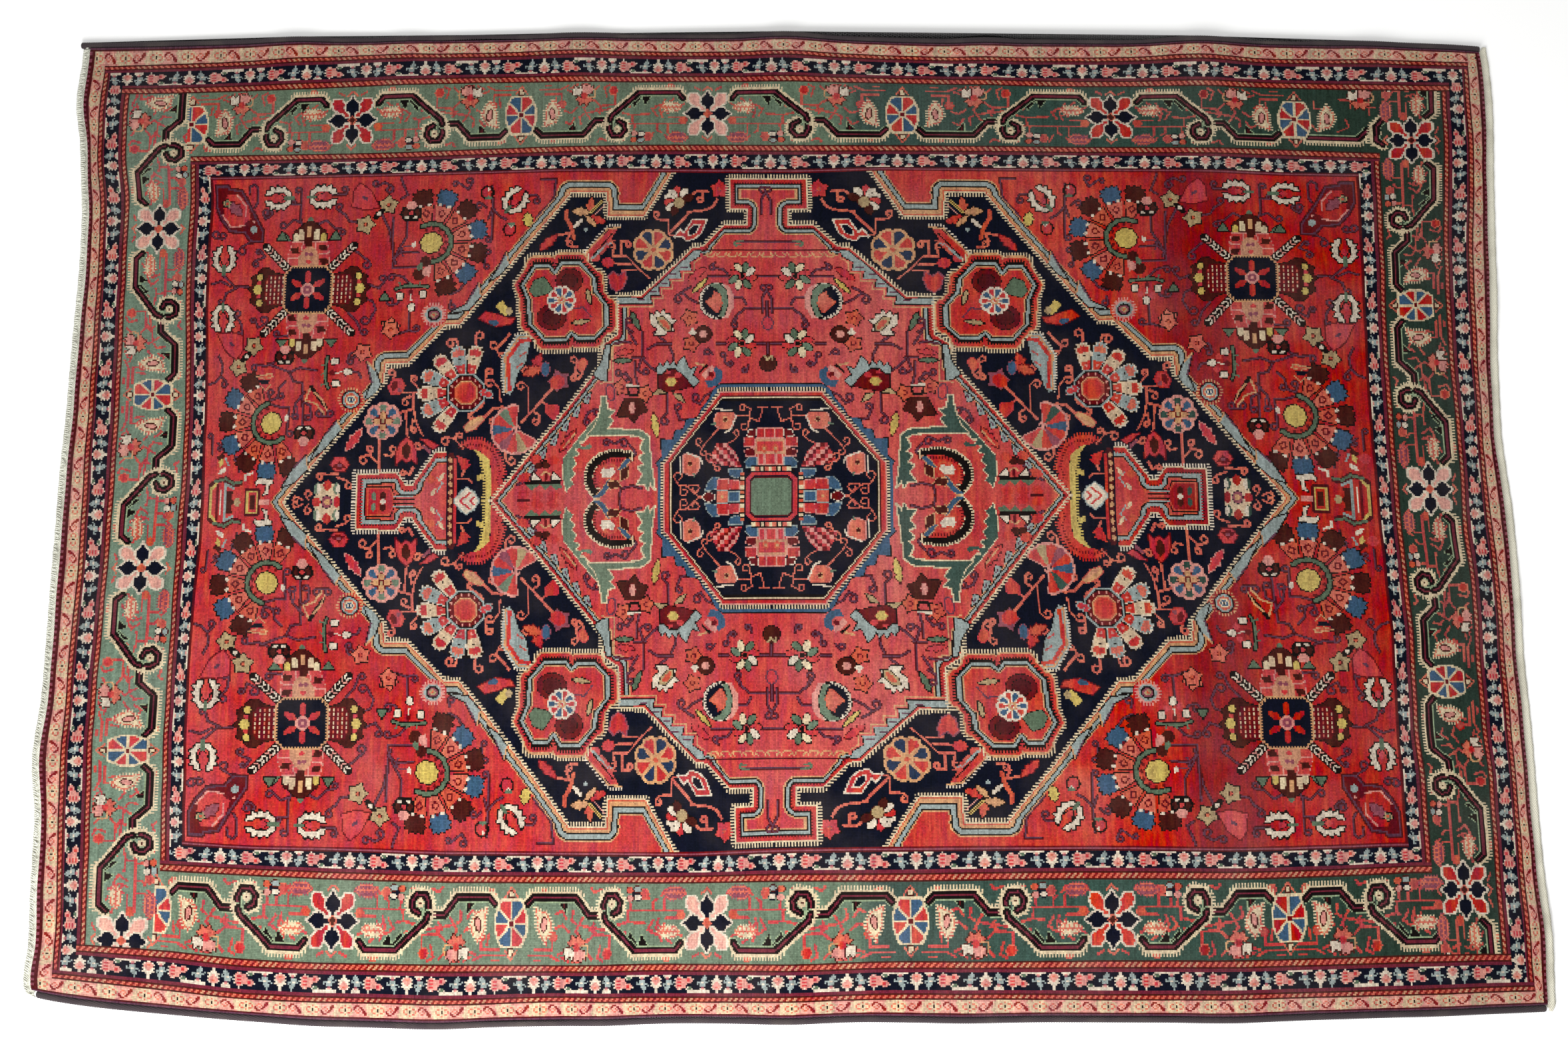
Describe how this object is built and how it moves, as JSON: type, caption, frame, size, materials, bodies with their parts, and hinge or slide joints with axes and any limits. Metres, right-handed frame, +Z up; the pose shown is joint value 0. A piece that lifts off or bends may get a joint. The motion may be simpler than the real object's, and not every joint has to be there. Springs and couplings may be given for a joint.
{
  "type": "persian rug",
  "caption": "Hand-knotted wool pile rug with a hexagonal medallion, overcast long sides and flat-woven ends, lying flat on a floor.",
  "frame": {"origin": "under the middle of the rug's outer box, on the floor", "axes": "X along the long sides, Y across them towards the far side, Z up out of the pile"},
  "size_m": [2.082, 1.414, 0.0158],
  "materials": {
    "pile_carpet": "matte wool pile",
    "side_cord_far": "matte wool",
    "side_cord_near": "matte wool",
    "kilim_end_left": "matte cotton",
    "kilim_end_right": "matte cotton"
  },
  "bodies": {
    "root": {"pile_carpet": "pile_carpet", "side_cord_far": "side_cord_far", "side_cord_near": "side_cord_near", "kilim_end_left": "kilim_end_left", "kilim_end_right": "kilim_end_right"}
  },
  "joints": []
}
